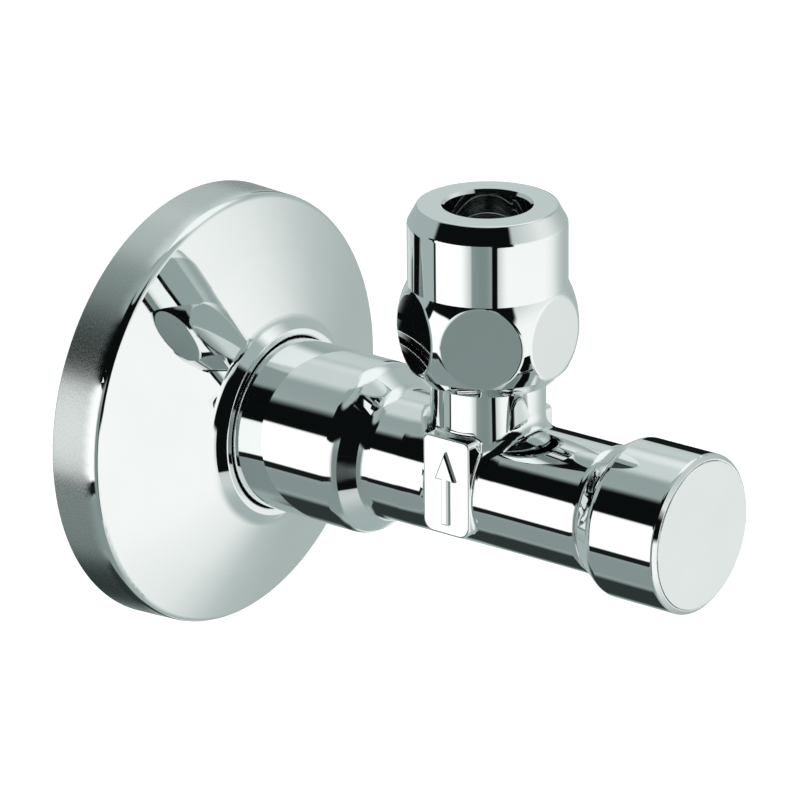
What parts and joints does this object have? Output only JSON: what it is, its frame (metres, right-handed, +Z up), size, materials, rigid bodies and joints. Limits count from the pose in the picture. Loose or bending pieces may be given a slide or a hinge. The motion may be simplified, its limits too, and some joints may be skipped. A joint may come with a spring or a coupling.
{
  "type": "angle stop valve",
  "caption": "Chrome angle stop valve with a round turn knob, a sliding wall escutcheon and an upward compression outlet for a 10 mm tube.",
  "frame": {"origin": "centre of the escutcheon's back plane, on the inlet axis, where the valve meets the wall", "axes": "+Y along the inlet axis into the wall, -Y towards the handle, +Z up along the outlet axis"},
  "size_m": [0.054, 0.0883, 0.061],
  "materials": {
    "body_chrome": "polished chrome plate on brass",
    "escutcheon_chrome": "chrome plate, polished face and brushed satin rim",
    "nut_chrome": "polished chrome plate on brass",
    "handle_chrome": "polished chrome plate",
    "bare_brass": "machined, unplated",
    "seal_rubber": "smooth black rubber",
    "fastener_steel": "stainless steel",
    "washer_plastic": "natural white low-friction plastic"
  },
  "bodies": {
    "valve_body": {"valve_body": "body_chrome", "headwork_bonnet": "bare_brass", "bonnet_o_ring": "seal_rubber"},
    "handle": {"spindle": "bare_brass", "spindle_o_ring_1": "seal_rubber", "spindle_o_ring_2": "seal_rubber", "thrust_washer": "washer_plastic", "spindle_circlip": "fastener_steel", "handle_knob": "handle_chrome", "handle_cap": "handle_chrome", "handle_screw": "fastener_steel"},
    "piston": {"closing_piston": "bare_brass", "piston_o_ring": "seal_rubber", "seat_washer": "seal_rubber", "washer_screw": "fastener_steel"},
    "escutcheon": {"escutcheon": "escutcheon_chrome", "escutcheon_grip_ring": "seal_rubber"},
    "tube_grip": {"compression_ring": "bare_brass", "slip_ring": "washer_plastic"},
    "nut": {"compression_nut": "nut_chrome"}
  },
  "joints": [
    {"name": "handle_turn", "type": "hinge", "parent": "valve_body", "child": "handle", "pos_m": [0, -0.07, 0], "axis": [0, -1, 0], "range_deg": [0, 900]},
    {"name": "piston_travel", "type": "slide", "parent": "valve_body", "child": "piston", "axis": [0, -1, 0], "range_m": [0, 0.0038]},
    {"name": "escutcheon_slide", "type": "slide", "parent": "valve_body", "child": "escutcheon", "axis": [0, -1, 0], "range_m": [0, 0.012]},
    {"name": "nut_lift", "type": "slide", "parent": "valve_body", "child": "tube_grip", "axis": [0, 0, 1], "range_m": [0, 0.005]},
    {"name": "nut_turn", "type": "hinge", "parent": "tube_grip", "child": "nut", "pos_m": [0, -0.0445, 0.02], "axis": [0, 0, 1], "range_deg": [0, 1810]}
  ],
  "couplings": [
    {"joint": "piston_travel", "follows": "handle_turn", "m_per_rad": 0.00023873},
    {"joint": "nut_turn", "follows": "nut_lift", "rad_per_m": 6283.2}
  ]
}
